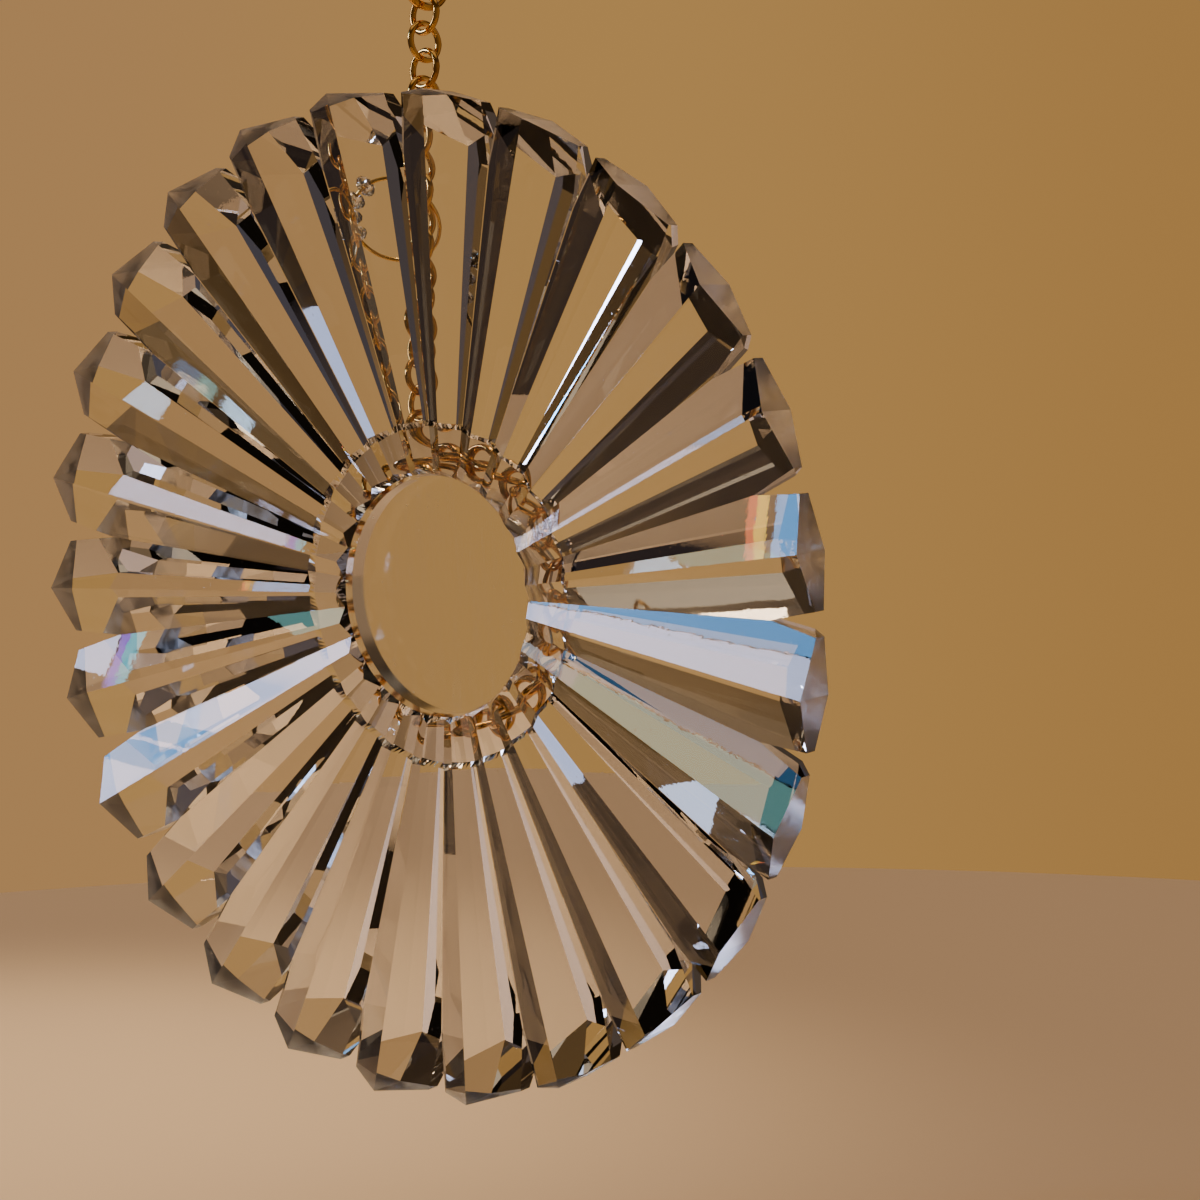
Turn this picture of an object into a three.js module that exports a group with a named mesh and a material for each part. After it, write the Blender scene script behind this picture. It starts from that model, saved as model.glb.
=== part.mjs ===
// Crystal suncatcher: a fluted crystal disc that hangs by a gold chain looped round its back hub.
// Sizes are in millimetres. +Z is up, the disc faces -Y, and the origin is where the top ring is hung.
import * as THREE from 'three';

// Disc plan
const PETALS = 25;
const RIM_R = 45;
const VALLEY_RIM_R = 44.7;
const FIRST_VALLEY_DEG = 84.2;
const CHORD_STEPS = 2;

// Front of the disc: flutes that fall to one apex, and a flat roundel in the middle
const APEX_FRONT = -9.5;
const VALLEY_RIM_DROP = -2.92;
const ROUNDEL_R = 11.2;
const ROUNDEL_STEP = 0.12;
const FOOT_RIDGE_R = 11.75;
const FOOT_VALLEY_R = 11.4;

// Back of the disc: matching flutes, a bevel round the rim and a round hub that holds the chain
const APEX_BACK = -10.1;
const BACK_RIDGE_RISE = 0.066;
const BACK_VALLEY_RISE = 0.125;
const WALL_BACK = -4.05;
const BEVEL_R = 41.0;
const BOSS_R = 16.2;
const BOSS_EDGE = 0.5;
const BOSS_BACK = -9.2;
const NECK_R = 11.0;
const NECK_DEPTH = 3.0;
const LIP_R = 12.0;
const LIP_DEPTH = 3.7;
const HUB_DEPTH = 4.4;

// Notches that part the petals at the rim: how far in they reach,
// and their half width as a share of the chord from valley to ridge
const NOTCH_R = 39.6;
const NOTCH_SHARE = 0.18;
const NOTCH_MIDDLE = -4.5;
const SHOULDER_BACK = -3.6;

// How the disc hangs
const LEAN_DEG = 6.1;
const HANG_DEG = 100.9;

// Gold chain
const LINK_R = 1.68;
const WIRE_R = 0.325;
const LINK_PITCH = 2.55;
const LINK_PLAY = 0.16;
const LINK_COUNT = 16;
const LINK_STEPS = 12;
const LINK_SIDES = 5;
const CHAIN_TURN_DEG = 7;
const LOOP_R = 13.3;
const LOOP_COUNT = 32;
const LOOP_BEHIND_BOSS = 2.15;

// Ring that the chain hangs from
const RING_R = 2.6;
const RING_WIRE_R = 0.45;
const RING_STEPS = 20;
const RING_SIDES = 6;

// Wire hoop and its beads, hooked through one link behind the disc
const HOOP_R = 4.2;
const HOOP_WIRE_R = 0.2;
const HOOP_STEPS = 32;
const HOOP_SIDES = 5;
const HOOP_LINK = 6;
const HOOP_TURN_DEG = 38;
const HOOP_TILT_DEG = 40;
const HOOP_HOOK_DEG = 54;
const BEAD_R = 1.05;
const BEAD_HOLE_R = 0.42;
const BEAD_HALF_LENGTH = 0.62;
const BEAD_BELT_HALF = 0.2;
const BEAD_SIDES = 8;
const BEAD_FIRST_DEG = 128;
const BEAD_STEP_DEG = 25;
const BEAD_COUNT = 4;

const RAD = Math.PI / 180;

// One material for each piece
function material(name, color, roughness, metalness) {
  const made = new THREE.MeshStandardMaterial({ color, roughness, metalness });
  made.name = name;
  return made;
}

const crystal = () => material('crystal', 0xe9eef0, 0.03, 0);
const beadCrystal = () => material('bead_crystal', 0xf0f2f4, 0.03, 0);
const gold = () => material('gold_chain', 0xc79a45, 0.22, 1);
const goldWire = () => material('gold_wire', 0xd2a23c, 0.25, 1);

function meshOf(name, positions, triangles, finish) {
  const geometry = new THREE.BufferGeometry();
  geometry.setAttribute('position', new THREE.Float32BufferAttribute(positions, 3));
  geometry.setIndex(triangles);
  geometry.computeVertexNormals();
  const mesh = new THREE.Mesh(geometry, finish);
  mesh.name = name;
  return mesh;
}

// Disc directions in the row frame: across, up the leaning disc, and out of its front
const lean = LEAN_DEG * RAD;
const ACROSS = new THREE.Vector3(1, 0, 0);
const UPWARD = new THREE.Vector3(0, -Math.sin(lean), Math.cos(lean));
const FORWARD = new THREE.Vector3(0, -Math.cos(lean), -Math.sin(lean));

// The link of the loop that carries the hanging chain sets where the disc's centre is
const hang = HANG_DEG * RAD;
const topLinkZ = -(RING_R - RING_WIRE_R) - RING_R + RING_WIRE_R + WIRE_R + LINK_PLAY - LINK_R;
const lastLinkZ = topLinkZ - (LINK_COUNT - 1) * LINK_PITCH;
const grip = LINK_R - 2 * WIRE_R - LINK_PLAY;
const loopHeight = BOSS_BACK - LOOP_BEHIND_BOSS;
const holdRadius = LOOP_R + LINK_R;
const holdOffset = new THREE.Vector3()
  .addScaledVector(ACROSS, holdRadius * Math.cos(hang))
  .addScaledVector(UPWARD, holdRadius * Math.sin(hang))
  .addScaledVector(FORWARD, loopHeight);
const centre = new THREE.Vector3(0, 0, lastLinkZ - grip).sub(holdOffset);

function place(x, v, w) {
  return centre.clone()
    .addScaledVector(ACROSS, x)
    .addScaledVector(UPWARD, v)
    .addScaledVector(FORWARD, w);
}

// A point at radius r and height w on a spoke of the disc
const spoke = ({ r, w }, turn) => new THREE.Vector3(r * Math.cos(turn), r * Math.sin(turn), w);
const halfTurn = Math.PI / PETALS;
const valleyTurn = (k) => FIRST_VALLEY_DEG * RAD + 2 * halfTurn * k;
const toward = (from, to, f) => from.clone().lerp(to, f);

// A closed ring: each petal gives its valley, two shoulders and ridge,
// and straight lines join shoulder to ridge
function petalRing(corners) {
  const points = [];
  for (let k = 0; k < PETALS; k += 1) {
    const { valley, rise, ridge, fall } = corners(k);
    points.push(valley);
    for (let s = 0; s < CHORD_STEPS; s += 1) points.push(toward(rise, ridge, s / CHORD_STEPS));
    for (let s = 0; s < CHORD_STEPS; s += 1) points.push(toward(ridge, fall, s / CHORD_STEPS));
    points.push(fall);
  }
  return points;
}

// A ring with no notch, whose shoulders lie on the straight lines from valley to ridge
function chordRing(ridgeAt, valleyAt) {
  return petalRing((k) => {
    const valley = spoke(valleyAt, valleyTurn(k));
    const ridge = spoke(ridgeAt, valleyTurn(k) + halfTurn);
    const beyond = spoke(valleyAt, valleyTurn(k + 1));
    const rise = toward(valley, ridge, NOTCH_SHARE);
    const fall = toward(beyond, ridge, NOTCH_SHARE);
    return { valley, rise, ridge, fall };
  });
}

// The same count of points on a true circle at one height
function roundRing(r, w) {
  return chordRing({ r, w }, { r, w }).map((p) => {
    const k = r / Math.hypot(p.x, p.y);
    return new THREE.Vector3(p.x * k, p.y * k, w);
  });
}

const frontRidge = (r) => ({ r, w: APEX_FRONT * (1 - r / RIM_R) });
const frontValley = (r) => ({ r, w: APEX_FRONT + (VALLEY_RIM_DROP - APEX_FRONT) * r / VALLEY_RIM_R });
const backFlute = (r, rise) => ({ r, w: APEX_BACK + rise * r });
const atHeight = (p, w) => new THREE.Vector3(p.x, p.y, w);

// Height of the plane through three points, over a point of the plan
function heightOn(a, b, c, over) {
  const { normal, constant } = new THREE.Plane().setFromCoplanarPoints(a, b, c);
  return -(normal.x * over.x + normal.y * over.y + constant) / normal.z;
}

// The corners of one petal's rim: front edge, back edge of the wall, and inner edge of the bevel
function rimCorners(k) {
  const ridgeTurn = valleyTurn(k) + halfTurn;
  const ridge = spoke(frontRidge(RIM_R), ridgeTurn);
  const wallRidge = atHeight(ridge, WALL_BACK);
  const bevelRidge = spoke(backFlute(BEVEL_R, BACK_RIDGE_RISE), ridgeTurn);
  const apex = new THREE.Vector3(0, 0, APEX_BACK);
  const sides = [valleyTurn(k), valleyTurn(k + 1)].map((turn) => {
    const front = toward(spoke(frontValley(VALLEY_RIM_R), turn), ridge, NOTCH_SHARE);
    const back = atHeight(front, SHOULDER_BACK);
    const foot = spoke(backFlute(NOTCH_R, BACK_VALLEY_RISE), turn);
    const inside = heightOn(bevelRidge, wallRidge, back, foot) - foot.z;
    const outside = back.z - heightOn(apex, bevelRidge, foot, back);
    const crossing = toward(foot, back, inside / (inside - outside));
    crossing.z = heightOn(apex, bevelRidge, foot, crossing);
    return { front, back, foot, crossing };
  });
  const notch = spoke(frontValley(NOTCH_R), valleyTurn(k));
  const middle = atHeight(notch, NOTCH_MIDDLE);
  const [rise, fall] = sides;
  return {
    front: { valley: notch, rise: rise.front, ridge, fall: fall.front },
    wall: { valley: middle, rise: rise.back, ridge: wallRidge, fall: fall.back },
    bevel: { valley: rise.foot, rise: rise.crossing, ridge: bevelRidge, fall: fall.crossing },
  };
}

function discRings() {
  const roundelHeight = frontValley(FOOT_VALLEY_R).w - ROUNDEL_STEP;
  return [
    roundRing(ROUNDEL_R, roundelHeight),
    chordRing(frontRidge(FOOT_RIDGE_R), frontValley(FOOT_VALLEY_R)),
    petalRing((k) => rimCorners(k).front),
    petalRing((k) => rimCorners(k).wall),
    petalRing((k) => rimCorners(k).bevel),
    chordRing(backFlute(BOSS_R, BACK_RIDGE_RISE), backFlute(BOSS_R, BACK_VALLEY_RISE)),
    roundRing(BOSS_R - BOSS_EDGE, BOSS_BACK),
    roundRing(NECK_R, BOSS_BACK),
    roundRing(NECK_R, BOSS_BACK - NECK_DEPTH),
    roundRing(LIP_R, BOSS_BACK - LIP_DEPTH),
    roundRing(LIP_R, BOSS_BACK - HUB_DEPTH),
  ];
}

function crystalDisc() {
  const rings = discRings();
  const count = rings[0].length;
  const positions = [];
  const triangles = [];
  const push = (p) => positions.push(...place(p.x, p.y, p.z).toArray());
  rings.forEach((ring) => ring.forEach(push));
  const frontCentre = rings.length * count;
  push(atHeight(new THREE.Vector3(), rings[0][0].z));
  push(atHeight(new THREE.Vector3(), rings[rings.length - 1][0].z));
  for (let i = 0; i < count; i += 1) {
    const j = (i + 1) % count;
    triangles.push(frontCentre, i, j);
    for (let k = 0; k + 1 < rings.length; k += 1) {
      const a = k * count;
      const b = a + count;
      triangles.push(a + i, b + i, b + j, a + i, b + j, a + j);
    }
    const last = (rings.length - 1) * count;
    triangles.push(frontCentre + 1, last + j, last + i);
  }
  return meshOf('crystal_disc', positions, triangles, crystal());
}

// A closed round of wire in the plane of two directions
function wireRound(name, middle, along, beside, radius, wire, steps, sides, finish) {
  const normal = new THREE.Vector3().crossVectors(along, beside);
  const positions = [];
  const triangles = [];
  for (let i = 0; i < steps; i += 1) {
    const a = 2 * Math.PI * i / steps;
    const out = along.clone().multiplyScalar(Math.cos(a)).addScaledVector(beside, Math.sin(a));
    for (let j = 0; j < sides; j += 1) {
      const b = 2 * Math.PI * (j + 0.5) / sides;
      const point = middle.clone()
        .addScaledVector(out, radius + wire * Math.cos(b))
        .addScaledVector(normal, wire * Math.sin(b));
      positions.push(...point.toArray());
      const n = ((i + 1) % steps) * sides;
      const m = i * sides;
      const k = (j + 1) % sides;
      triangles.push(m + j, n + j, n + k, m + j, n + k, m + k);
    }
  }
  return meshOf(name, positions, triangles, finish);
}

const label = (stem, n) => `${stem}_${String(n).padStart(2, '0')}`;
const UP = new THREE.Vector3(0, 0, 1);

// Level direction at an angle from +X
function level(deg) {
  return new THREE.Vector3(Math.cos(deg * RAD), Math.sin(deg * RAD), 0);
}

function hangingRing() {
  const middle = new THREE.Vector3(0, 0, -(RING_R - RING_WIRE_R));
  const beside = level(90 - CHAIN_TURN_DEG);
  return wireRound('hanging_ring', middle, UP, beside, RING_R, RING_WIRE_R, RING_STEPS, RING_SIDES, gold());
}

function hangingLinks() {
  const links = [];
  for (let i = 0; i < LINK_COUNT; i += 1) {
    const middle = new THREE.Vector3(0, 0, topLinkZ - i * LINK_PITCH);
    const beside = level((i % 2 === 0 ? 0 : 90) - CHAIN_TURN_DEG);
    const name = label('chain_link', i + 1);
    links.push(wireRound(name, middle, UP, beside, LINK_R, WIRE_R, LINK_STEPS, LINK_SIDES, gold()));
  }
  return links;
}

// The chain's loop lies against the boss, its links turned edge on and flat by turns
function hubLinks() {
  const links = [];
  for (let i = 0; i < LOOP_COUNT; i += 1) {
    const a = hang + 2 * Math.PI * i / LOOP_COUNT;
    const outward = ACROSS.clone().multiplyScalar(Math.cos(a)).addScaledVector(UPWARD, Math.sin(a));
    const tangent = UPWARD.clone().multiplyScalar(Math.cos(a)).addScaledVector(ACROSS, -Math.sin(a));
    const middle = place(LOOP_R * Math.cos(a), LOOP_R * Math.sin(a), loopHeight);
    const beside = i % 2 === 0 ? outward : FORWARD;
    const name = label('hub_link', i + 1);
    links.push(wireRound(name, middle, tangent, beside, LINK_R, WIRE_R, LINK_STEPS, LINK_SIDES, gold()));
  }
  return links;
}

// The hoop's plane leans back, and its upper right runs through the middle of one link
const hoopAcross = level(HOOP_TURN_DEG);
const hoopBack = level(HOOP_TURN_DEG + 90);
const hoopTilt = HOOP_TILT_DEG * RAD;
const hoopUp = UP.clone().multiplyScalar(Math.cos(hoopTilt)).addScaledVector(hoopBack, -Math.sin(hoopTilt));
const hoopPoint = (deg) => hoopAcross.clone().multiplyScalar(HOOP_R * Math.cos(deg * RAD))
  .addScaledVector(hoopUp, HOOP_R * Math.sin(deg * RAD));
const hoopMiddle = new THREE.Vector3(0, 0, topLinkZ - HOOP_LINK * LINK_PITCH).sub(hoopPoint(HOOP_HOOK_DEG));

function wireHoop() {
  return wireRound('wire_hoop', hoopMiddle, hoopAcross, hoopUp, HOOP_R, HOOP_WIRE_R,
    HOOP_STEPS, HOOP_SIDES, goldWire());
}

function beads() {
  const profile = [
    new THREE.Vector2(BEAD_HOLE_R, -BEAD_HALF_LENGTH),
    new THREE.Vector2(BEAD_R, -BEAD_BELT_HALF),
    new THREE.Vector2(BEAD_R, BEAD_BELT_HALF),
    new THREE.Vector2(BEAD_HOLE_R, BEAD_HALF_LENGTH),
    new THREE.Vector2(BEAD_HOLE_R, -BEAD_HALF_LENGTH),
  ];
  const made = [];
  for (let i = 0; i < BEAD_COUNT; i += 1) {
    const deg = BEAD_FIRST_DEG + i * BEAD_STEP_DEG;
    const geometry = new THREE.LatheGeometry(profile, BEAD_SIDES);
    const onto = new THREE.Quaternion().setFromUnitVectors(
      new THREE.Vector3(0, 1, 0),
      hoopPoint(deg + 90).normalize(),
    );
    geometry.applyQuaternion(onto);
    const at = hoopMiddle.clone().add(hoopPoint(deg));
    geometry.translate(at.x, at.y, at.z);
    const mesh = new THREE.Mesh(geometry, beadCrystal());
    mesh.name = label('crystal_bead', i + 1);
    made.push(mesh);
  }
  return made;
}

const part = new THREE.Group();
part.name = 'crystal_suncatcher';
part.add(crystalDisc(), hangingRing(), ...hangingLinks(), ...hubLinks(), wireHoop(), ...beads());

export default part;
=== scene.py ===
# %% [markdown]
# # A cut-crystal suncatcher
# The object is a round disc of clear crystal, cut into petals, that hangs by a fine gold chain. The packed
# frame gives its true size and place. This lesson dresses that frame: first the camera, then the crystal,
# the chain, the wire hoop with its beads, and last a pale floor and soft light.

# %% Load the frame
import math
import bpy
import numpy as np
from mathutils import Matrix


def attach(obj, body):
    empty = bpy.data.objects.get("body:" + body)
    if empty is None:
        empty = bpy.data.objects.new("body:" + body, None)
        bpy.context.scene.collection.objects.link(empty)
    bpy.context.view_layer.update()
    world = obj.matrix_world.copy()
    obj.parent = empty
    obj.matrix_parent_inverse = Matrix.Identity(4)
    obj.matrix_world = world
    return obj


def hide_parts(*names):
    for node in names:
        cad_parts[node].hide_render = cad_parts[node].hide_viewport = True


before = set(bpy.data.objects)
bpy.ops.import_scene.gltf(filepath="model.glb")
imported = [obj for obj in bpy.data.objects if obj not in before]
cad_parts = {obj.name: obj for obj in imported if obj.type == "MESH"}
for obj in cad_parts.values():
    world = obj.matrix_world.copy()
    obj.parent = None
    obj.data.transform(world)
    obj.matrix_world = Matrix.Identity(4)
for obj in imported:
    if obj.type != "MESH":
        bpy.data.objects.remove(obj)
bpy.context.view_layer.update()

# %% [markdown]
# The disc's own directions come first. It hangs from the top ring at the origin and leans forward a
# little, so a point on it is given by three numbers: across, up the leaning disc, and out of its front.
# Working in those numbers keeps every later formula as simple as on a drawing board.

# %% The disc's place
MM = 0.001
RIM_R = 45.0
LEAN = math.radians(6.1)
HANG = math.radians(100.9)
LINK_R = 1.68
WIRE_R = 0.325
LINK_PITCH = 2.55
LINK_PLAY = 0.16
LINK_COUNT = 16
RING_R = 2.6
RING_WIRE_R = 0.45
LOOP_R = 13.3
LOOP_COUNT = 32
BOSS_BACK = -9.2
LOOP_BEHIND_BOSS = 2.15

across = np.array([1.0, 0.0, 0.0])
upward = np.array([0.0, -math.sin(LEAN), math.cos(LEAN)])
forward = np.array([0.0, -math.cos(LEAN), -math.sin(LEAN)])
loop_height = BOSS_BACK - LOOP_BEHIND_BOSS
top_link_z = -2 * RING_R + 2 * RING_WIRE_R + WIRE_R + LINK_PLAY - LINK_R
grip_z = top_link_z - (LINK_COUNT - 1) * LINK_PITCH - (LINK_R - 2 * WIRE_R - LINK_PLAY)
hold = LOOP_R + LINK_R
grip = np.array([0.0, 0.0, grip_z])
hold_across, hold_up = hold * math.cos(HANG), hold * math.sin(HANG)
disc_centre = grip - hold_across * across - hold_up * upward - loop_height * forward
print("disc centre, mm", disc_centre.round(3))


def place(x, v, w):
    """Row-frame points: centre + x across + v up the disc + w out of its front, in millimetres."""
    x, v, w = np.broadcast_arrays(x, v, w)
    return disc_centre + x[..., None] * across + v[..., None] * upward + w[..., None] * forward


# %% [markdown]
# The camera comes next, because every choice of light and finish is judged through it. The photograph
# was taken level, from the disc's front and well to its right, so the disc shows as a tall ellipse. The
# disc's middle stands left of the picture's middle. The camera's shift could give that too, but it would
# carry over into every other view, so the camera itself stands further to the side.

# %% The camera
VIEW_TURN = math.radians(38.1)
VIEW_DISTANCE = 4.34 * RIM_R
FRAME_PX = 1200
RADIUS_PX = 507.2
MIDDLE_PX = (373.6, 605.5)
SENSOR = 36.0
NEAREST = 0.01

look = np.array([-math.sin(VIEW_TURN), math.cos(VIEW_TURN), 0.0])
right = np.array([math.cos(VIEW_TURN), math.sin(VIEW_TURN), 0.0])
shift_right = (MIDDLE_PX[0] - FRAME_PX / 2) / RADIUS_PX * RIM_R
shift_up = (FRAME_PX / 2 - MIDDLE_PX[1]) / RADIUS_PX * RIM_R
eye = disc_centre - VIEW_DISTANCE * look - shift_right * right - shift_up * np.array([0, 0, 1.0])

camera_data = bpy.data.cameras.new("camera")
camera_data.sensor_width = SENSOR
camera_data.sensor_height = SENSOR
camera_data.sensor_fit = "AUTO"
camera_data.angle = 2 * math.atan(FRAME_PX / 2 / (RADIUS_PX * VIEW_DISTANCE / RIM_R))
camera_data.clip_start = NEAREST
camera = bpy.data.objects.new("camera", camera_data)
camera.location = eye * MM
camera.rotation_euler = (math.pi / 2, 0, VIEW_TURN)
bpy.context.collection.objects.link(camera)
bpy.context.scene.camera = camera
print("camera at, mm", eye.round(1), "angle", round(math.degrees(camera_data.angle), 2))


# %% [markdown]
# Two helpers serve every piece: one puts whole arrays of points and faces into a mesh, and one joins
# rings of points into a closed skin. Modifiers could round or cut a plain solid instead, but rings written
# from sizes put each facet exactly where the wheel would cut it. Cut faces are shaded flat, and round wire
# is shaded smooth.

# %% Mesh helpers
def new_piece(name, points, faces, material, smooth):
    """A mesh object from an (n, 3) array in millimetres and a list of faces."""
    mesh = bpy.data.meshes.new(name)
    mesh.from_pydata((np.asarray(points) * MM).tolist(), [], [list(map(int, f)) for f in faces])
    mesh.validate()
    mesh.polygons.foreach_set("use_smooth", np.full(len(mesh.polygons), smooth))
    mesh.materials.append(material)
    piece = bpy.data.objects.new(name, mesh)
    bpy.context.collection.objects.link(piece)
    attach(piece, "root")
    return piece


def skin(rows, columns, close_rows):
    """Quads between neighbouring rows of a (rows, columns) grid whose columns run round a circle."""
    row = np.arange(rows if close_rows else rows - 1)[:, None]
    i = row * columns
    down = (row + 1) % rows * columns
    j = np.arange(columns)[None, :]
    k = (j + 1) % columns
    return np.stack([i + j, down + j, down + k, i + k], axis=-1).reshape(-1, 4)


# %% [markdown]
# Finishes are built from nodes. Each could be wired up by hand in the editor, but small helpers keep a
# material down to a few readable lines. Every pattern is worked out from a point's place on the piece, so
# a smudge or a scratch stays where it is when the piece is seen from elsewhere.

# %% Node helpers
def feed(tree, socket, value):
    """Give an input socket a link when the value is a socket, and a plain value when it isn't."""
    if isinstance(value, bpy.types.NodeSocket):
        tree.links.new(value, socket)
    else:
        socket.default_value = value


def math_node(tree, operation, *values):
    """One Math node, fed by sockets or plain numbers."""
    node = tree.nodes.new("ShaderNodeMath")
    node.operation = operation
    for socket, value in zip(node.inputs, values):
        feed(tree, socket, value)
    return node.outputs[0]


def noise_node(tree, vector, scale, detail):
    """A noise value between 0 and 1; scale is in waves per metre of the piece."""
    node = tree.nodes.new("ShaderNodeTexNoise")
    feed(tree, node.inputs["Vector"], vector)
    node.inputs["Scale"].default_value = scale
    node.inputs["Detail"].default_value = detail
    return node.outputs["Fac"]


def stretch_node(tree, vector, factors):
    """The same place with each axis multiplied, which draws a noise out into streaks."""
    node = tree.nodes.new("ShaderNodeVectorMath")
    node.operation = "MULTIPLY"
    feed(tree, node.inputs[0], vector)
    node.inputs[1].default_value = factors
    return node.outputs[0]


def range_node(tree, value, low, high, to_low, to_high):
    """A value between low and high, moved smoothly to between to_low and to_high."""
    node = tree.nodes.new("ShaderNodeMapRange")
    node.interpolation_type = "SMOOTHSTEP"
    feed(tree, node.inputs["Value"], value)
    for name, number in (("From Min", low), ("From Max", high), ("To Min", to_low), ("To Max", to_high)):
        node.inputs[name].default_value = number
    return node.outputs["Result"]


def attribute_node(tree, name):
    """One of the piece's own named values."""
    node = tree.nodes.new("ShaderNodeAttribute")
    node.attribute_name = name
    return node.outputs["Fac"]


# %% [markdown]
# An effect that more than one material needs is kept as a node group, built once and placed in each. It
# could be copied into every material, but then each change would have to be made in every copy.

# %% Groups and bump
def new_group(name, outputs):
    """A shader node group that takes a place on the piece and gives the named values."""
    tree = bpy.data.node_groups.new(name, "ShaderNodeTree")
    tree.interface.new_socket("Place", in_out="INPUT", socket_type="NodeSocketVector")
    for output, kind in outputs:
        tree.interface.new_socket(output, in_out="OUTPUT", socket_type=kind)
    return tree, tree.nodes.new("NodeGroupInput").outputs["Place"], tree.nodes.new("NodeGroupOutput")


def place_group(material, group):
    """Put a group in a material and feed it the piece's own coordinates."""
    tree = material.node_tree
    node = tree.nodes.new("ShaderNodeGroup")
    node.node_tree = group
    place_on = tree.nodes.new("ShaderNodeTexCoord")
    tree.links.new(place_on.outputs["Object"], node.inputs["Place"])
    return node


def add_bump(material, height, strength, depth):
    """Bump on the material's own shader, depth in metres."""
    tree = material.node_tree
    node = tree.nodes.new("ShaderNodeBump")
    node.inputs["Strength"].default_value = strength
    node.inputs["Distance"].default_value = depth
    tree.links.new(height, node.inputs["Height"])
    tree.links.new(node.outputs["Normal"], tree.nodes["Principled BSDF"].inputs["Normal"])


# %% [markdown]
# Cut crystal is ground and then polished, so its facets are flat with a faint wave, and in use they gather
# thin smudges and dust. An image could show that, but noises on the piece's own coordinates have no seams
# and stay sharp close up. The disc and the beads share this effect, so it is one group.

# %% The polish of the crystal
POLISHED = 0.004
SMUDGED = 0.022
DUST = 0.12
SMUDGE_SCALE = 160.0
SMUDGE_RANGE = (0.5, 0.72)
DUST_SCALE = 2400.0
DUST_RANGE = (0.74, 0.78)
WAVE_SCALE = 90.0
GRAIN_SCALE = 1800.0
GRAIN_SHARE = 0.04


def crystal_polish():
    """Group: smudges a few millimetres wide and dust specks as roughness, and a faint wave as height."""
    outputs = [("Roughness", "NodeSocketFloat"), ("Height", "NodeSocketFloat")]
    tree, where, result = new_group("crystal_polish", outputs)
    smudge = noise_node(tree, where, SMUDGE_SCALE, detail=3)
    smudge = range_node(tree, smudge, *SMUDGE_RANGE, POLISHED, SMUDGED)
    dust = noise_node(tree, where, DUST_SCALE, detail=1)
    dust = range_node(tree, dust, *DUST_RANGE, 0.0, DUST)
    wave = noise_node(tree, where, WAVE_SCALE, detail=2)
    grain = noise_node(tree, where, GRAIN_SCALE, detail=2)
    tree.links.new(math_node(tree, "ADD", smudge, dust), result.inputs["Roughness"])
    tree.links.new(math_node(tree, "MULTIPLY_ADD", grain, GRAIN_SHARE, wave), result.inputs["Height"])
    return tree


polish = crystal_polish()
print("group", polish.name)

# %% [markdown]
# Clear crystal is see-through by plain values: full transmission and the high refractive index of lead
# crystal, which bends light hard and makes the facets flash. A Glass shader would look much the same, but
# the Principled shader serves every finish here, and other programs can read it.

# %% The clear crystal
CRYSTAL_INDEX = 1.56
CRYSTAL_TINT = (0.985, 0.99, 0.99, 1)
WAVE_STRENGTH = 0.25
WAVE_DEPTH = 0.00004


def clear_crystal(name):
    """Crystal by plain values, with the polish placed and its wave as bump."""
    material = bpy.data.materials.new(name)
    material.use_nodes = True
    tree = material.node_tree
    shader = tree.nodes["Principled BSDF"]
    shader.inputs["Base Color"].default_value = CRYSTAL_TINT
    shader.inputs["Transmission Weight"].default_value = 1.0
    shader.inputs["IOR"].default_value = CRYSTAL_INDEX
    worked = place_group(material, polish)
    add_bump(material, worked.outputs["Height"], WAVE_STRENGTH, WAVE_DEPTH)
    return material, tree, shader, worked


def bead_crystal():
    """The beads' crystal, polished all over."""
    material, tree, shader, worked = clear_crystal("bead_crystal")
    tree.links.new(worked.outputs["Roughness"], shader.inputs["Roughness"])
    return material


# %% [markdown]
# Not every face of the disc is polished. The narrow wall round the rim is only ground, so it is matt, and
# the roundel shows the faint streaks of its polishing. Each could have a material of its own, but one
# material that reads which faces are which keeps the crystal one and the same everywhere else.

# %% The disc's own crystal
RIM_GROUND = 0.50
GROUND_SCALE = 700.0
GROUND_PATCHES = (0.3, 0.7, 0.6, 1.0)
ROUNDEL_HAZE = 0.22
STREAK_SCALE = 900.0
STREAK_STRETCH = (1.0, 1.0, 0.12)
STREAK_RANGE = (0.35, 0.7, 0.35, 1.0)


def disc_crystal():
    """Crystal whose rim wall is ground and whose roundel is streaked, by the disc's own face attributes."""
    material, tree, shader, worked = clear_crystal("cut_crystal")
    where = tree.nodes.new("ShaderNodeTexCoord").outputs["Object"]
    patchy = range_node(tree, noise_node(tree, where, GROUND_SCALE, detail=3), *GROUND_PATCHES)
    ground = math_node(tree, "MULTIPLY", attribute_node(tree, "ground_wall"), RIM_GROUND)
    ground = math_node(tree, "MULTIPLY", ground, patchy)
    streaks = noise_node(tree, stretch_node(tree, where, STREAK_STRETCH), STREAK_SCALE, detail=3)
    streaks = range_node(tree, streaks, *STREAK_RANGE)
    haze = math_node(tree, "MULTIPLY", attribute_node(tree, "roundel"), ROUNDEL_HAZE)
    haze = math_node(tree, "MULTIPLY", haze, streaks)
    added = math_node(tree, "ADD", ground, haze)
    tree.links.new(math_node(tree, "ADD", added, worked.outputs["Roughness"]), shader.inputs["Roughness"])
    return material


crystal = disc_crystal()
bead_glass = bead_crystal()
print("crystal index", CRYSTAL_INDEX)

# %% [markdown]
# The disc is one piece of crystal. Its front flutes all fall to one point behind the middle, which is how
# a flat grinding wheel cuts them, and the back flutes do the same from behind, so each petal is a long
# bar with a diamond section. At the rim a narrow notch parts each petal from the next, and a bevel takes
# the back corner off. Cutting tools could carve all this from a plain round, but every face is flat, so the
# disc is simply written as rings of corner points.

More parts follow.
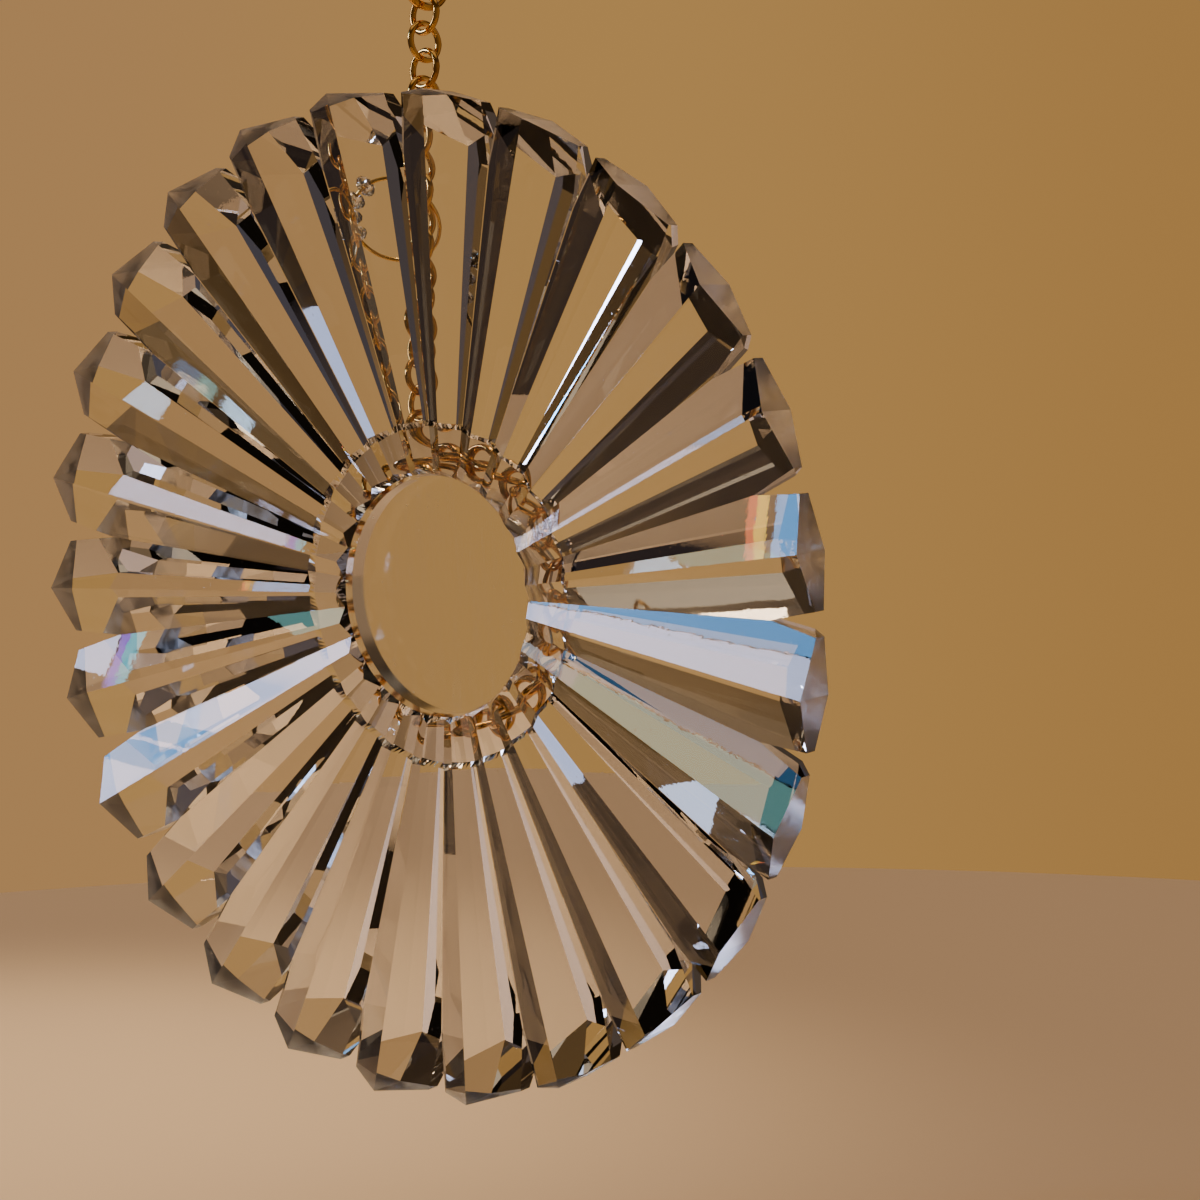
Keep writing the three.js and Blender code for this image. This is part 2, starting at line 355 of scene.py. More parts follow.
# %% Sizes of the cut disc
PETALS = 25
VALLEY_RIM_R = 44.7
FIRST_VALLEY = math.radians(84.2)
APEX_FRONT = -9.5
VALLEY_RIM_DROP = -2.92
ROUNDEL_R = 11.2
ROUNDEL_STEP = 0.12
FOOT_RIDGE_R = 11.75
FOOT_VALLEY_R = 11.4
APEX_BACK = -10.1
BACK_RIDGE_RISE = 0.066
BACK_VALLEY_RISE = 0.125
WALL_BACK = -4.05
SHOULDER_BACK = -3.6
BEVEL_R = 41.0
NOTCH_R = 39.6
NOTCH_SHARE = 0.18
NOTCH_MIDDLE = -4.5
BOSS_R = 16.2
BOSS_EDGE = 0.5
NECK_R = 11.0
NECK_DEPTH = 3.0
LIP_R = 12.0
LIP_DEPTH = 3.7
HUB_DEPTH = 4.4
CHORD_STEPS = 4
print("disc depth from rim to hub, mm", round(HUB_DEPTH - BOSS_BACK, 2))


def front_ridge(r):
    """Height of a front ridge at radius r: a straight fall from the rim to the apex."""
    return APEX_FRONT * (1 - r / RIM_R)


def front_valley(r):
    """Height of a front valley at radius r, which falls to the same apex."""
    return APEX_FRONT + (VALLEY_RIM_DROP - APEX_FRONT) * r / VALLEY_RIM_R


def back_flute(r, rise):
    """Height of a back ridge or valley at radius r, by its rise from the back apex."""
    return APEX_BACK + rise * r


# %% [markdown]
# Every ring goes once round the disc through the same corners: valley, shoulder, ridge, shoulder. Rings of
# equal count join into strips with nothing to match by hand. A boolean cut for each flute would give the
# same faces more slowly, and could leave stray edges where cuts meet.

# %% Rings of corner points
def spokes(r, w, turn):
    """Points at radius r and height w at each angle of turn."""
    return np.stack([r * np.cos(turn), r * np.sin(turn), np.full_like(turn, w)], axis=-1)


half_turn = math.pi / PETALS
valley_turn = FIRST_VALLEY + 2 * half_turn * np.arange(PETALS)
ridge_turn = valley_turn + half_turn
print("one petal spans, degrees", round(math.degrees(2 * half_turn), 1))


def petal_ring(valley, shoulders, ridge):
    """A closed ring: valley, shoulder, a straight line to the ridge, and so on to the next valley."""
    f = (np.arange(CHORD_STEPS) / CHORD_STEPS)[None, :, None]
    rise = shoulders[0][:, None, :] * (1 - f) + ridge[:, None, :] * f
    fall = shoulders[1][:, None, :] * (1 - f) + ridge[:, None, :] * f
    ring = np.concatenate([valley[:, None], rise, ridge[:, None], fall[:, ::-1]], axis=1)
    return ring.reshape(-1, 3)


def chord_ring(ridge_r, ridge_w, valley_r, valley_w):
    """A ring with no notch: its shoulders lie on the straight lines from valley to ridge."""
    valley = spokes(valley_r, valley_w, valley_turn)
    ridge = spokes(ridge_r, ridge_w, ridge_turn)
    beyond = np.roll(valley, -1, axis=0)
    shoulders = [v * (1 - NOTCH_SHARE) + ridge * NOTCH_SHARE for v in (valley, beyond)]
    return petal_ring(valley, shoulders, ridge)


# %% [markdown]
# At the rim the petals part. Each ends in a narrow upright wall, a notch divides it from the next, and a
# bevel takes off its back corner. Corners guessed by eye would leave the facets bent, and a bent facet
# smears what it shows, so where bevel and flute meet is worked out from the planes through their corners.

# %% The rings at the rim
def at_height(points, w):
    """The same plan points, all at height w."""
    return np.column_stack([points[:, :2], np.full(len(points), w)])


def height_on(corners, plan):
    """Height over plan points of the planes through three corners each: solves a x + b v + c = w."""
    rows = np.concatenate([corners[..., :2], np.ones(corners.shape[:-1] + (1,))], axis=-1)
    factors = np.linalg.solve(rows, corners[..., 2:])[..., 0]
    return factors[:, 0] * plan[:, 0] + factors[:, 1] * plan[:, 1] + factors[:, 2]


def rim_rings():
    """The three rings of the rim: its front edge, the back edge of its wall, and the bevel's inner edge."""
    valley = spokes(VALLEY_RIM_R, VALLEY_RIM_DROP, valley_turn)
    ridge = spokes(RIM_R, 0.0, ridge_turn)
    ends = (valley, np.roll(valley, -1, axis=0))
    front = [v * (1 - NOTCH_SHARE) + ridge * NOTCH_SHARE for v in ends]
    back = [at_height(points, SHOULDER_BACK) for points in front]
    inner = spokes(BEVEL_R, back_flute(BEVEL_R, BACK_RIDGE_RISE), ridge_turn)
    outer = at_height(ridge, WALL_BACK)
    apex = np.broadcast_to([0.0, 0.0, APEX_BACK], ridge.shape)
    bottom = spokes(NOTCH_R, back_flute(NOTCH_R, BACK_VALLEY_RISE), valley_turn)
    crossing = []
    for foot, shoulder in zip((bottom, np.roll(bottom, -1, axis=0)), back):
        bevel = np.stack([inner, outer, shoulder], axis=1)
        flute = np.stack([apex, inner, foot], axis=1)
        gap_in = height_on(bevel, foot) - foot[:, 2]
        gap_out = shoulder[:, 2] - height_on(flute, shoulder)
        t = (gap_in / (gap_in - gap_out))[:, None]
        point = foot * (1 - t) + shoulder * t
        point[:, 2] = height_on(flute, point)
        crossing.append(point)
    notch_front = spokes(NOTCH_R, front_valley(NOTCH_R), valley_turn)
    return [
        petal_ring(notch_front, front, ridge),
        petal_ring(at_height(notch_front, NOTCH_MIDDLE), back, outer),
        petal_ring(bottom, crossing, inner),
    ]


print("notch depth, mm", round(RIM_R - NOTCH_R, 2))

# %% [markdown]
# The rings are stacked in order: the front roundel with its small step, the rim, the boss behind and the
# hub, whose neck and lip keep the chain on. The hub could be a second mesh pushed into the first, but light
# would bend at the hidden faces, so strips join all the rings into one closed skin.

# %% The skin of the disc
def round_ring(r, w):
    """The same count of points on a true circle of radius r at height w."""
    points = chord_ring(r, w, r, w)
    points[:, :2] *= r / np.hypot(points[:, 0], points[:, 1])[:, None]
    return points


def cut_disc():
    """The disc's skin: rings from the roundel out to the rim, over the wall and back to the hub."""
    boss_ridge = back_flute(BOSS_R, BACK_RIDGE_RISE)
    boss_valley = back_flute(BOSS_R, BACK_VALLEY_RISE)
    rings = [
        round_ring(ROUNDEL_R, front_valley(FOOT_VALLEY_R) - ROUNDEL_STEP),
        chord_ring(FOOT_RIDGE_R, front_ridge(FOOT_RIDGE_R), FOOT_VALLEY_R, front_valley(FOOT_VALLEY_R)),
        *rim_rings(),
        chord_ring(BOSS_R, boss_ridge, BOSS_R, boss_valley),
        round_ring(BOSS_R - BOSS_EDGE, BOSS_BACK),
        round_ring(NECK_R, BOSS_BACK),
        round_ring(NECK_R, BOSS_BACK - NECK_DEPTH),
        round_ring(LIP_R, BOSS_BACK - LIP_DEPTH),
        round_ring(LIP_R, BOSS_BACK - HUB_DEPTH),
    ]
    columns = len(rings[0])
    points = np.concatenate(rings)
    faces = [list(q) for q in skin(len(rings), columns, False)]
    faces.append(list(range(columns)))
    faces.append(list(range(len(points) - 1, len(points) - 1 - columns, -1)))
    return place(points[:, 0], points[:, 1], points[:, 2]), faces


# %% [markdown]
# Now the skin becomes a piece, and its rim wall and roundel are marked for the material. Distance from the
# middle could mark them too, but it would catch parts of other facets, and here each face is known by its
# place in the list. So every face carries a value, 1 where it is ground or streaked and 0 elsewhere.

# %% The finished disc
WALL_BAND = 2
PETAL_COLUMNS = 2 * CHORD_STEPS + 2


def mark_faces(piece, name, chosen):
    """A face attribute that is 1 on the chosen faces, for the material to read."""
    values = piece.data.attributes.new(name, "FLOAT", "FACE")
    values.data.foreach_set("value", np.asarray(chosen, dtype=np.float32))


disc_points, disc_faces = cut_disc()
roundel_face = len(disc_faces) - 2
disc = new_piece("cut_disc", disc_points, disc_faces, crystal, False)
face = np.arange(len(disc_faces))
band, column = np.divmod(face, PETALS * PETAL_COLUMNS)
in_notch = (column % PETAL_COLUMNS == 0) | (column % PETAL_COLUMNS == PETAL_COLUMNS - 1)
mark_faces(disc, "ground_wall", (band == WALL_BAND) & ~in_notch)
mark_faces(disc, "roundel", face == roundel_face)
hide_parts("crystal_disc")
print("disc", len(disc_points), "points")

# %% [markdown]
# The chain is gold-plated brass. Plating wears paler and smoother where one link rides on the next, and
# elsewhere it darkens a little in patches, with fine scratches over all. It could be painted link by link,
# but one group works it out from how much each point is rubbed and from noises, and both golds share it.

# %% The wear of gold wire
TARNISH_SCALE = 420.0
TARNISH_RANGE = (0.42, 0.7)
RUB_RANGE = (0.25, 0.9)
SCRATCH_SCALE = 2600.0
SCRATCH_STRETCH = (1.0, 1.0, 0.3)
SCRATCH_RANGE = (0.4, 0.75)
SCRATCH_HEIGHT = 0.5
PIT_SCALE = 1300.0


def gold_wear():
    """Group: tarnish patches, rubbed spots and fine scratches, each between 0 and 1, and a height."""
    tree, where, result = new_group("gold_wear", [
        ("Tarnish", "NodeSocketFloat"), ("Rubbed", "NodeSocketFloat"),
        ("Scratches", "NodeSocketFloat"), ("Height", "NodeSocketFloat"),
    ])
    rubbed = range_node(tree, attribute_node(tree, "rub"), *RUB_RANGE, 0.0, 1.0)
    patches = noise_node(tree, where, TARNISH_SCALE, detail=3)
    patches = range_node(tree, patches, *TARNISH_RANGE, 0.0, 1.0)
    kept = math_node(tree, "SUBTRACT", 1.0, rubbed)
    scratches = noise_node(tree, stretch_node(tree, where, SCRATCH_STRETCH), SCRATCH_SCALE, detail=3)
    scratches = range_node(tree, scratches, *SCRATCH_RANGE, 0.0, 1.0)
    pits = noise_node(tree, where, PIT_SCALE, detail=2)
    tree.links.new(math_node(tree, "MULTIPLY", patches, kept), result.inputs["Tarnish"])
    tree.links.new(rubbed, result.inputs["Rubbed"])
    tree.links.new(scratches, result.inputs["Scratches"])
    worn = math_node(tree, "MULTIPLY_ADD", scratches, SCRATCH_HEIGHT, pits)
    tree.links.new(worn, result.inputs["Height"])
    return tree


wear = gold_wear()
print("group", wear.name)

# %% [markdown]
# Gold has no colour under its shine: the metal itself tints what it reflects. So each gold is a metallic
# shader with three colours, for clean, tarnished and rubbed metal, and the group says which shows where.
# The hoop's wire is a paler and slightly duller gold than the chain's. Two materials drawn apart would do,
# but one function keeps them alike in all else.

# %% The gold finish
TARNISH_DULLS = 0.08
WEAR_STRENGTH = 0.3
WEAR_DEPTH = 0.00003


def mix_colour(tree, share, first, second):
    """A colour between two, by a share of 0 to 1: a Mix node's colours are inputs 6 and 7 and output 2."""
    node = tree.nodes.new("ShaderNodeMix")
    node.data_type = "RGBA"
    feed(tree, node.inputs["Factor"], share)
    feed(tree, node.inputs[6], first)
    feed(tree, node.inputs[7], second)
    return node.outputs[2]


def polished_gold(name, plating, tarnished, rubbed, smooth, rough):
    """Gold by three colours and the roughness of its clean and its scratched parts."""
    material = bpy.data.materials.new(name)
    material.use_nodes = True
    tree = material.node_tree
    shader = tree.nodes["Principled BSDF"]
    shader.inputs["Metallic"].default_value = 1.0
    worn = place_group(material, wear)
    colour = mix_colour(tree, worn.outputs["Tarnish"], (*plating, 1), (*tarnished, 1))
    colour = mix_colour(tree, worn.outputs["Rubbed"], colour, (*rubbed, 1))
    tree.links.new(colour, shader.inputs["Base Color"])
    dulled = math_node(tree, "MULTIPLY_ADD", worn.outputs["Scratches"], rough - smooth, smooth)
    dulled = math_node(tree, "MULTIPLY_ADD", worn.outputs["Tarnish"], TARNISH_DULLS, dulled)
    tree.links.new(dulled, shader.inputs["Roughness"])
    add_bump(material, worn.outputs["Height"], WEAR_STRENGTH, WEAR_DEPTH)
    return material


CHAIN_COLOURS = ((0.82, 0.49, 0.14), (0.50, 0.25, 0.06), (0.94, 0.68, 0.30))
HOOP_COLOURS = ((0.86, 0.58, 0.17), (0.66, 0.40, 0.11), (0.95, 0.73, 0.36))
gold = polished_gold("chain_gold", *CHAIN_COLOURS, smooth=0.07, rough=0.20)
gold_wire = polished_gold("wire_gold", *HOOP_COLOURS, smooth=0.10, rough=0.24)
print("gold finishes", gold.name, gold_wire.name)

# %% [markdown]
# The chain, the ring and the hoop are all rounds of wire, so one function makes them all: a circle carried
# round a circle. A ready-made torus has the same round, but no wear and no solder. Links rub where they
# hang in each other, at both ends and on the inner side, so each point carries how much it is rubbed. Real
# links are soldered shut, which leaves the wire slightly swollen at one side, and that is made here too,
# small enough to stay clear of the next link.

# %% Rounds of wire
LINK_STEPS = 40
LINK_SIDES = 14
SOLDER_SWELL = 0.07
SOLDER_WIDTH = 0.16
RUB_SIDE = 0.3
RUB_FALL = 4


def wire_round(middle, along, beside, radius, wire, steps, sides):
    """A torus: middle + (radius + t cos b) out + t sin b normal, whose wire t swells at the solder."""
    a = np.linspace(0, 2 * math.pi, steps, endpoint=False)[:, None, None]
    b = np.linspace(0, 2 * math.pi, sides, endpoint=False)[None, :, None]
    out = np.cos(a) * along + np.sin(a) * beside
    normal = np.cross(along, beside)
    solder = np.exp(-((a - math.pi / 2) / SOLDER_WIDTH) ** 2)
    thick = wire * (1 + SOLDER_SWELL * solder - SOLDER_SWELL)
    points = middle + (radius + thick * np.cos(b)) * out + thick * np.sin(b) * normal
    rub = np.cos(a) ** RUB_FALL * np.clip(RUB_SIDE - np.cos(b), 0, 1)
    return points.reshape(-1, 3), skin(steps, sides, True), rub.ravel()


def wire_piece(name, material, node, middle, along, beside, radius, wire,
               steps=LINK_STEPS, sides=LINK_SIDES):
    """A round of wire as a finished piece that stands in for the CAD's plainer one."""
    points, faces, rub = wire_round(middle, along, beside, radius, wire, steps, sides)
    piece = new_piece(name, points, faces, material, True)
    values = piece.data.attributes.new("rub", "FLOAT", "POINT")
    values.data.foreach_set("value", rub.astype(np.float32))
    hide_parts(node)
    return piece


def level(degrees):
    """The level direction at an angle from +X."""
    return np.array([math.cos(math.radians(degrees)), math.sin(math.radians(degrees)), 0.0])


# %% [markdown]
# Round links hang in a row under a larger ring, each turned a quarter from the last. An Array modifier
# could repeat one link, but here each is a piece of its own in the place that the frame gives it, so no
# two show the same patches of wear. The ring's wire is drawn slightly thinner than the frame's plainer
# one, so that it stays inside it all round.

# %% The hanging chain and its ring
CHAIN_TURN = 7
RING_STEPS = 72
RING_SIDES = 20
RING_WIRE_SHOWN = 0.418

vertical = np.array([0.0, 0.0, 1.0])
for n in range(LINK_COUNT):
    label = f"{n + 1:02d}"
    middle = np.array([0, 0, top_link_z - n * LINK_PITCH])
    beside = level((0 if n % 2 == 0 else 90) - CHAIN_TURN)
    wire_piece(f"gold_link_{label}", gold, f"chain_link_{label}",
               middle, vertical, beside, LINK_R, WIRE_R)
wire_piece("gold_ring", gold, "hanging_ring", np.array([0, 0, RING_WIRE_R - RING_R]),
           vertical, level(90 - CHAIN_TURN), RING_R, RING_WIRE_SHOWN, RING_STEPS, RING_SIDES)
print("hanging links", LINK_COUNT)

# %% [markdown]
# The chain goes on round the disc's hub as a closed loop that lies against the boss. Its links stand edge
# on and flat by turns, as a round-link chain does when it is pulled tight round a drum. A Curve modifier
# could bend a straight chain round, but it would bend the links too, so each is placed by its own angle.

# %% The loop round the hub
for n in range(LOOP_COUNT):
    label = f"{n + 1:02d}"
    a = HANG + 2 * math.pi * n / LOOP_COUNT
    outward = math.cos(a) * across + math.sin(a) * upward
    tangent = math.cos(a) * upward - math.sin(a) * across
    middle = place(LOOP_R * math.cos(a), LOOP_R * math.sin(a), loop_height)
    wire_piece(f"gold_hub_link_{label}", gold, f"hub_link_{label}",
               middle, tangent, outward if n % 2 == 0 else forward, LINK_R, WIRE_R)
print("loop links", LOOP_COUNT)

# %% [markdown]
# A thin wire hoop hooks through one link of the chain behind the disc. It is one more round of wire, turned
# and tilted. It could be placed by eye, but here its middle line is made to run through the middle of the
# link, so that it hangs in the link whichever side it is seen from.

# %% The wire hoop
HOOP_R = 4.2
HOOP_WIRE_R = 0.2
HOOP_STEPS = 120
HOOP_SIDES = 12
HOOP_LINK = 6
HOOP_TURN = 38
HOOP_TILT = math.radians(40)
HOOP_HOOK = math.radians(54)

hoop_across = level(HOOP_TURN)
hoop_up = math.cos(HOOP_TILT) * vertical - math.sin(HOOP_TILT) * level(HOOP_TURN + 90)


def hoop_point(angle):
    """A point of the hoop's middle line, from the hoop's own middle."""
    return HOOP_R * (math.cos(angle) * hoop_across + math.sin(angle) * hoop_up)


hoop_middle = np.array([0, 0, top_link_z - HOOP_LINK * LINK_PITCH]) - hoop_point(HOOP_HOOK)
wire_piece("gold_hoop", gold_wire, "wire_hoop",
           hoop_middle, hoop_across, hoop_up, HOOP_R, HOOP_WIRE_R, HOOP_STEPS, HOOP_SIDES)
print("hoop middle, mm", hoop_middle.round(2))

# %% [markdown]
# Small crystal beads are threaded on the hoop. Such beads are faceted rondelles: rings of corners, each
# turned half a step from the last, so that every face is a small flat triangle, with a straight hole
# through the middle for the wire. A coarse ball would come near, but it has four-sided faces and no hole.

# %% The crystal beads
BEAD_RINGS = [(0.42, -0.62), (0.78, -0.46), (1.05, -0.14), (1.05, 0.14), (0.78, 0.46), (0.42, 0.62)]
BEAD_SIDES = 10
BEAD_FIRST = 128
BEAD_STEP = 25
BEAD_COUNT = 4


def cut_bead(at, axis):
    """Rings of (radius, height) corners about the axis, joined by triangles, and a hole of one radius."""
    side = np.cross(axis, vertical)
    side = side / np.linalg.norm(side)
    front = np.cross(axis, side)
    r, h = np.array(BEAD_RINGS).T[:, :, None, None]
    half = (np.arange(len(BEAD_RINGS)) % 2 * 0.5)[:, None, None]
    a = (np.arange(BEAD_SIDES)[None, :, None] + half) * (2 * math.pi / BEAD_SIDES)
    points = at + r * (np.cos(a) * side + np.sin(a) * front) + h * axis
    i = np.arange(BEAD_SIDES)
    j = (i + 1) % BEAD_SIDES
    faces = []
    for row in range(len(BEAD_RINGS)):
        low, high = row * BEAD_SIDES, (row + 1) % len(BEAD_RINGS) * BEAD_SIDES
        if row % 2:
            pair = [(low + j, high + j, low + i), (high + j, high + i, low + i)]
        else:
            pair = [(low + j, high + i, low + i), (high + j, high + i, low + j)]
        faces.append(np.array(pair).transpose(2, 0, 1))
    return points.reshape(-1, 3), np.concatenate(faces).reshape(-1, 3)


for n in range(BEAD_COUNT):
    label = f"{n + 1:02d}"
    angle = math.radians(BEAD_FIRST + n * BEAD_STEP)
    axis = hoop_point(angle + math.pi / 2) / HOOP_R
    bead_points, bead_faces = cut_bead(hoop_middle + hoop_point(angle), axis)
    bead = new_piece(f"cut_bead_{label}", bead_points, bead_faces, bead_glass, False)
    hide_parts(f"crystal_bead_{label}")
print("beads", BEAD_COUNT)

# %% [markdown]
# The floor is a plain pale disc under the crystal. Where its far edge stands matters, because the lower
# petals show that edge again and again, upside down and turned. A boundless plane would need no placing,
# but its edge would stand at the height of the camera.

# %% The pale floor
FLOOR_R = 260.0
FLOOR_BEHIND = 60.0
FLOOR_BELOW_EYE = 62.0
FLOOR_SIDES = 96
FLOOR_COLOUR = (0.74, 0.53, 0.31, 1)
FLOOR_ROUGHNESS = 0.6

around = np.linspace(0, 2 * math.pi, FLOOR_SIDES, endpoint=False)
floor_points = np.stack([
    FLOOR_R * np.cos(around),
    FLOOR_BEHIND + FLOOR_R * np.sin(around),
    np.full(FLOOR_SIDES, eye[2] - FLOOR_BELOW_EYE),
], axis=-1)
floor_mesh = bpy.data.meshes.new("floor")
floor_mesh.from_pydata((floor_points * MM).tolist(), [], [list(range(FLOOR_SIDES))])
floor = bpy.data.objects.new("floor", floor_mesh)
bpy.context.collection.objects.link(floor)
floor_material = bpy.data.materials.new("pale_floor")
floor_material.use_nodes = True
floor_shader = floor_material.node_tree.nodes["Principled BSDF"]
floor_shader.inputs["Base Color"].default_value = FLOOR_COLOUR
floor_shader.inputs["Roughness"].default_value = FLOOR_ROUGHNESS
floor_mesh.materials.append(floor_material)
print("floor at, mm", round(float(floor_points[0, 2]), 1))

# %% [markdown]
# Clear crystal has no colour of its own: it shows what is round it. Surroundings could be built, but a soft
# dome is enough: a world whose colour turns with the compass and the height. Behind the disc it is tan, and
# to the right of that it falls to shadow, which fills the narrow facets with dark strips. Higher up it is
# darker, and overhead it is a soft cream. Directions are given as degrees of turn from +Y towards -X, as
# the camera's own turn is, and degrees of height.

# %% The soft room
ROOM_COLOURS = [
    (-180, (0.085, 0.060, 0.036)),
    (-110, (0.160, 0.105, 0.060)),
    (-60, (0.260, 0.165, 0.090)),
    (-28, (0.230, 0.140, 0.075)),
    (-12, (0.020, 0.013, 0.011)),
    (11, (0.014, 0.009, 0.008)),
    (21, (0.395, 0.205, 0.058)),
    (38, (0.450, 0.245, 0.074)),
    (52, (0.425, 0.230, 0.088)),
    (68, (0.410, 0.230, 0.096)),
    (84, (0.070, 0.050, 0.045)),
    (108, (0.060, 0.055, 0.070)),
    (150, (0.060, 0.042, 0.028)),
    (180, (0.085, 0.060, 0.036)),
]
CEILING_COLOUR = (0.62, 0.47, 0.31)
CEILING_FROM = 46
CEILING_FULL = 66
SHADE_FROM = 25
SHADE_FULL = 37
SHADE_LEFT = 0.22
SHADE_COLOUR = (0.02, 0.012, 0.006, 1)


def soft_room():
    """A world whose colour is a ramp over the compass, darker higher up and pale overhead."""
    world = bpy.data.worlds.new("soft_room")
    world.use_nodes = True
    tree = world.node_tree
    direction = tree.nodes.new("ShaderNodeTexCoord")
    parts = tree.nodes.new("ShaderNodeSeparateXYZ")
    tree.links.new(direction.outputs["Generated"], parts.inputs[0])
    leftward = math_node(tree, "MULTIPLY", parts.outputs["X"], -1.0)
    turn = math_node(tree, "ARCTAN2", leftward, parts.outputs["Y"])
    compass = math_node(tree, "MULTIPLY_ADD", turn, 1 / (2 * math.pi), 0.5)
    ramp = tree.nodes.new("ShaderNodeValToRGB")
    ramp.color_ramp.interpolation = "EASE"
    stops = ramp.color_ramp.elements
    while len(stops) < len(ROOM_COLOURS):
        stops.new(0.5)
    for stop, (degrees, colour) in zip(stops, ROOM_COLOURS):
        stop.position = degrees / 360 + 0.5
        stop.color = (*colour, 1)
    tree.links.new(compass, ramp.inputs[0])
    sines = [math.sin(math.radians(a)) for a in (SHADE_FROM, SHADE_FULL, CEILING_FROM, CEILING_FULL)]
    shade = range_node(tree, parts.outputs["Z"], sines[0], sines[1], 0.0, 1.0 - SHADE_LEFT)
    ceiling = range_node(tree, parts.outputs["Z"], sines[2], sines[3], 0.0, 1.0)
    walls = mix_colour(tree, shade, ramp.outputs["Color"], SHADE_COLOUR)
    room = mix_colour(tree, ceiling, walls, (*CEILING_COLOUR, 1))
    tree.links.new(room, tree.nodes["Background"].inputs["Color"])
    bpy.context.scene.world = world


soft_room()
print("room colours", len(ROOM_COLOURS))

# %% [markdown]
# Each flat facet is a small mirror, so a light shows whole in the few facets that are turned to it and
# nowhere else. Bright patches in the dome could serve as lights, but they would come out grainy. So each
# light is a soft rectangle, far enough off, in metres, to keep its direction from every part of the disc.

# %% Panes of light
PANEL_FAR = 4.0


def toward(turn, height):
    """The unit direction at these degrees of turn from +Y towards -X, and of height."""
    t, h = math.radians(turn), math.radians(height)
    return np.array([-math.sin(t) * math.cos(h), math.cos(t) * math.cos(h), math.sin(h)])


def panel(name, centre, along, up, glow, roll=0.0):
    """A rectangle of light: its spans along the turn and up are in degrees, and roll turns its plane.

    Its energy is glow * pi * area, which makes its radiance glow.
    """
    aim = toward(*centre)
    side = np.array([math.cos(math.radians(centre[0])), math.sin(math.radians(centre[0])), 0.0])
    rise = np.cross(side, aim)
    r = math.radians(roll)
    x_axis = math.cos(r) * side - math.sin(r) * rise
    y_axis = np.cross(aim, x_axis)
    a0, a1, u0, u1 = (PANEL_FAR * math.tan(math.radians(d)) for d in (*along, *up))
    light = bpy.data.lights.new(name, "AREA")
    light.shape = "RECTANGLE"
    light.size = a1 - a0
    light.size_y = u1 - u0
    strength = max(glow)
    light.color = [c / strength for c in glow]
    light.energy = strength * math.pi * light.size * light.size_y
    middle = disc_centre * MM + PANEL_FAR * aim - (a0 + a1) / 2 * x_axis - (u0 + u1) / 2 * y_axis
    facing = Matrix(np.column_stack([x_axis, y_axis, aim]).tolist()).to_4x4()
    facing.translation = middle
    lamp = bpy.data.objects.new(name, light)
    lamp.matrix_world = facing
    lamp.visible_camera = False
    bpy.context.collection.objects.link(lamp)


# %% [markdown]
# A tall window stands to the left. Its panes lie in one tilted plane: pale ones high and low, a strip of
# sky over them, and two small sky panes between, with a bar. One bright pane would be simpler, but the
# facets show such parts plainly. Slim tinted strips line its sides, because real crystal spreads light into
# colours at such an edge, and the renderer bends all colours alike.

# %% The window
WINDOW = (121.5, 29.15)
WINDOW_ROLL = 20.7
PALE = (9.6, 10.6, 15.4)
SKY = (1.9, 5.4, 11.0)
WINDOW_PANES = [
    ("window_high", (-9.0, 8.2), (-4.9, 0.0), PALE),
    ("window_sky", (-9.0, 8.2), (0.03, 2.2), SKY),
    ("window_pane_upper", (-9.0, -0.4), (-5.5, -4.9), SKY),
    ("window_bar", (-9.0, -0.4), (-5.62, -5.5), PALE),
    ("window_pane_lower", (-9.0, -0.4), (-6.3, -5.62), SKY),
    ("window_low", (-9.0, 8.2), (-14.0, -6.3), PALE),
    ("window_edge_gold", (-9.45, -9.2), (-14.0, 2.2), (12.0, 7.0, 0.8)),
    ("window_edge_red", (-9.7, -9.45), (-14.0, 2.2), (9.0, 1.6, 0.5)),
    ("window_edge_violet", (8.25, 8.5), (-14.0, 2.2), (2.6, 1.2, 10.0)),
    ("window_edge_cyan", (8.5, 8.8), (-14.0, 2.2), (0.8, 7.0, 9.0)),
]
for name, along, up, glow in WINDOW_PANES:
    panel(name, WINDOW, along, up, glow, WINDOW_ROLL)
print("window panes", len(WINDOW_PANES))

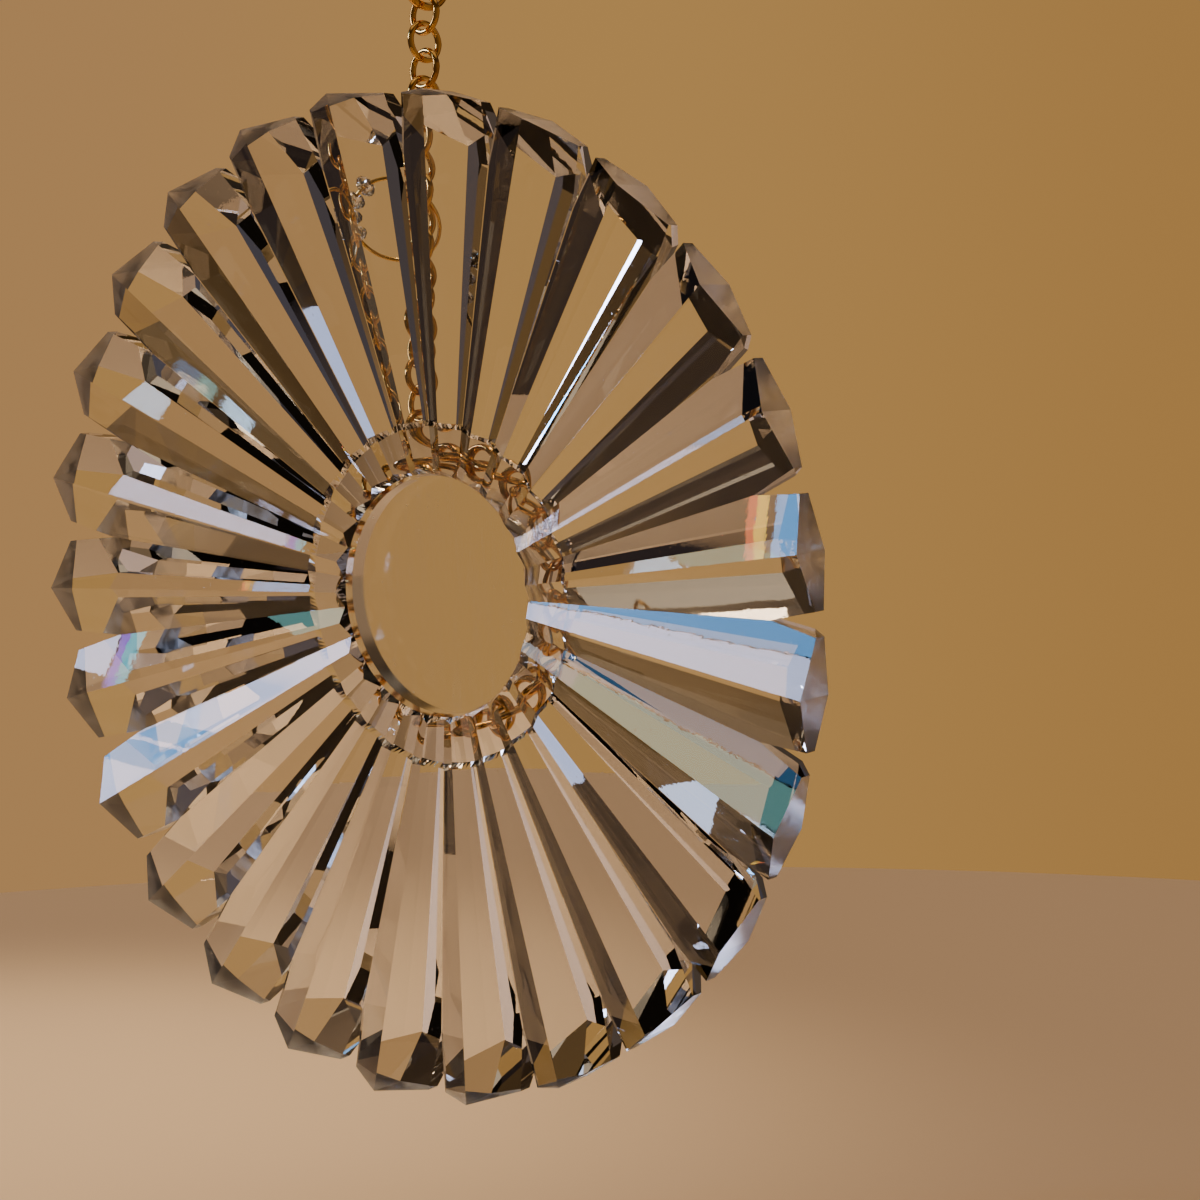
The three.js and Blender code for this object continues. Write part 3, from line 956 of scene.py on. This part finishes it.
# %% [markdown]
# Beside the window there is a dimmer green view, with a dark blue frame over it and one bright glint under
# it. Two small cool lamps behind the disc give glints low on its right, and a lamp high up lights the
# floor. Each could be a light of its own kind, but panes are enough, so one list and one loop make all.

# %% The other lights
GARDEN = (137.0, 31.4)
OTHER_PANES = [
    ("garden_near", GARDEN, (-5.5, -2.6), (-0.7, 0.5), (3.6, 4.2, 4.8)),
    ("garden_far", GARDEN, (-2.6, 4.4), (-0.7, 0.5), (1.5, 3.7, 3.5)),
    ("garden_frame", GARDEN, (-3.4, 4.4), (0.55, 2.6), (0.4, 1.3, 2.6)),
    ("garden_glint", GARDEN, (1.2, 4.0), (-3.2, -0.75), (8.0, 12.0, 16.0)),
    ("wall_lamp", (14.6, 27.4), (-1.7, 1.9), (-1.5, 1.7), (0.74, 0.92, 1.30)),
    ("wall_glint", (8.2, 24.5), (-1.3, 1.4), (-2.6, 2.6), (0.62, 0.74, 1.15)),
    ("high_lamp", (90.0, 84.0), (-6.0, 6.0), (-4.5, 4.5), (15.0, 10.6, 6.6)),
]
for name, centre, along, up, glow in OTHER_PANES:
    panel(name, centre, along, up, glow)
print("lights", len(bpy.data.lights))

# %% [markdown]
# A soft spot, just over a metre up, makes a warm pool of light on the floor to the left of the disc. A
# lighter patch could be painted in the floor's finish instead, but light brings its soft edge with it.

# %% The pool of light
POOL_AT = np.array([-92.0, 14.0, 0.0])
POOL_LAMP_HEIGHT = 1.2
POOL_WATTS = 52.0
POOL_SPREAD = math.radians(11)
POOL_COLOUR = (1.0, 0.82, 0.60)
POOL_LAMP_R = 0.04

pool = bpy.data.lights.new("floor_pool", "SPOT")
pool.energy = POOL_WATTS
pool.color = POOL_COLOUR
pool.spot_size = POOL_SPREAD
pool.spot_blend = 1.0
pool.shadow_soft_size = POOL_LAMP_R
pool_lamp = bpy.data.objects.new("floor_pool", pool)
pool_lamp.location = POOL_AT * MM + np.array([0, 0, POOL_LAMP_HEIGHT])
pool_lamp.visible_camera = False
bpy.context.collection.objects.link(pool_lamp)
print("pool of light at, mm", POOL_AT)
